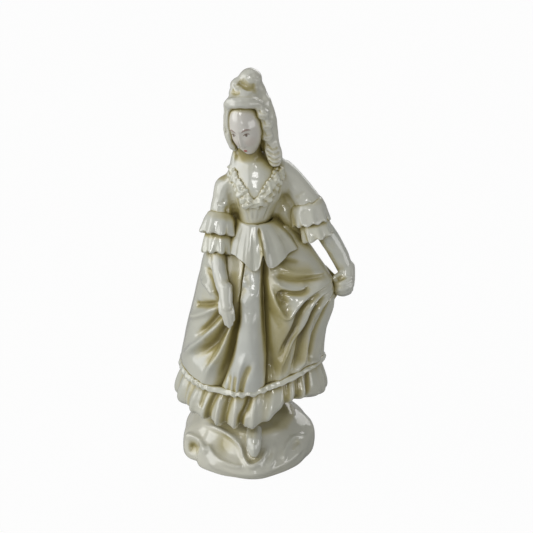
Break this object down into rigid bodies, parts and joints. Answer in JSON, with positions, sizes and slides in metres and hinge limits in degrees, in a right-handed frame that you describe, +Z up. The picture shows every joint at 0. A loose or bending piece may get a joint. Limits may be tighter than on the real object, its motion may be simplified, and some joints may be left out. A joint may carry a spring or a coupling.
{
  "type": "porcelain figurine",
  "caption": "Small glazed porcelain lady in a flounced eighteenth-century gown, lifting her skirt, on a lobed rococo plinth.",
  "frame": {"origin": "the point on the table under the middle of the figure, on the flat underside of the plinth", "axes": "+Z up through the head, the lady faces -Y, and her left hand, which lifts the skirt, is at +X"},
  "size_m": [0.0489, 0.0399, 0.1104],
  "materials": {
    "glazed_porcelain": "glossy grey-white glaze with ochre stain settled in every fold and crevice",
    "hair_glaze": "glossy glaze, tinted ochre between the locks",
    "lace_glaze": "glossy glaze on crisp scalloped edges, ochre behind them"
  },
  "bodies": {
    "root": {"plinth": "glazed_porcelain", "shoe": "glazed_porcelain", "flounce": "glazed_porcelain", "lace_edging": "lace_glaze", "overskirt": "glazed_porcelain", "petticoat_panel": "glazed_porcelain", "peplum": "glazed_porcelain", "bodice": "glazed_porcelain", "lace_collar": "lace_glaze", "neck": "glazed_porcelain", "head": "glazed_porcelain", "back_hair": "hair_glaze", "rising_hair": "hair_glaze", "front_roll": "hair_glaze", "top_puff": "hair_glaze", "side_puff": "hair_glaze", "side_curl_1": "hair_glaze", "side_curl_2": "hair_glaze", "side_curl_3": "hair_glaze", "side_lock": "hair_glaze", "shoulder_ringlet": "hair_glaze", "right_sleeve": "glazed_porcelain", "right_cuff": "glazed_porcelain", "right_cuff_frill": "lace_glaze", "right_forearm": "glazed_porcelain", "right_hand": "glazed_porcelain", "left_sleeve": "glazed_porcelain", "left_cuff": "glazed_porcelain", "left_cuff_frill": "lace_glaze", "left_forearm": "glazed_porcelain", "left_hand": "glazed_porcelain", "arm_web": "glazed_porcelain"}
  },
  "joints": []
}
